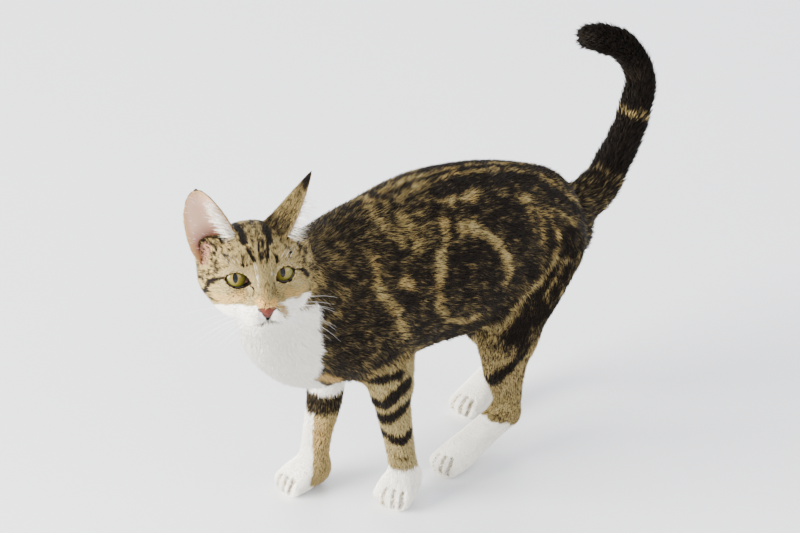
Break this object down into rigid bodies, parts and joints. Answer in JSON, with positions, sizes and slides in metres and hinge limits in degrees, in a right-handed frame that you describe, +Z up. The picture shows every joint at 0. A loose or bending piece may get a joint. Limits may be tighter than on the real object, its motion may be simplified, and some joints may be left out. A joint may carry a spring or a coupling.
{
  "type": "cat",
  "caption": "Life-size still model of a young tabby-and-white domestic shorthair, standing with its head turned and tail raised.",
  "frame": {"origin": "on the floor, at the middle of the bounding box under the cat", "axes": "+Z up, the cat's chest faces -Y, its left side is +X, and its tail is at +Y"},
  "size_m": [0.1154, 0.4442, 0.2958],
  "materials": {
    "coat_tabby": "short soft fur, brown tabby with dark bars",
    "coat_dark_tabby": "short soft fur, near-black blotches on ticked brown",
    "coat_agouti": "very short fur, grey-beige agouti with dark lines",
    "coat_tan": "short fur, ochre tan with dark bars",
    "coat_white": "short soft fur, white",
    "coat_black": "bushy fur, black",
    "iris": "wet gloss over an olive-gold iris",
    "nose_leather": "moist pebbled skin, brick pink",
    "ear_inner": "thin skin, pinkish beige, with sparse white hairs"
  },
  "bodies": {
    "root": {"upper_arm_left": "coat_tabby", "upper_arm_right": "coat_tabby", "thigh_left": "coat_tabby", "thigh_right": "coat_tabby", "neck": "coat_tabby", "trunk": "coat_dark_tabby", "rump": "coat_dark_tabby", "tail_middle": "coat_dark_tabby", "tail_base": "coat_dark_tabby", "head": "coat_agouti", "forearm_left": "coat_tan", "forearm_right": "coat_tan", "shank_left": "coat_tan", "shank_right": "coat_tan", "paw_front_left": "coat_white", "paw_front_right": "coat_white", "foot_hind_left": "coat_white", "foot_hind_right": "coat_white", "breast": "coat_white", "tail_tip": "coat_black", "eye_left": "iris", "eye_right": "iris", "nose": "nose_leather", "ear_left": "ear_inner", "ear_right": "ear_inner"}
  },
  "joints": []
}
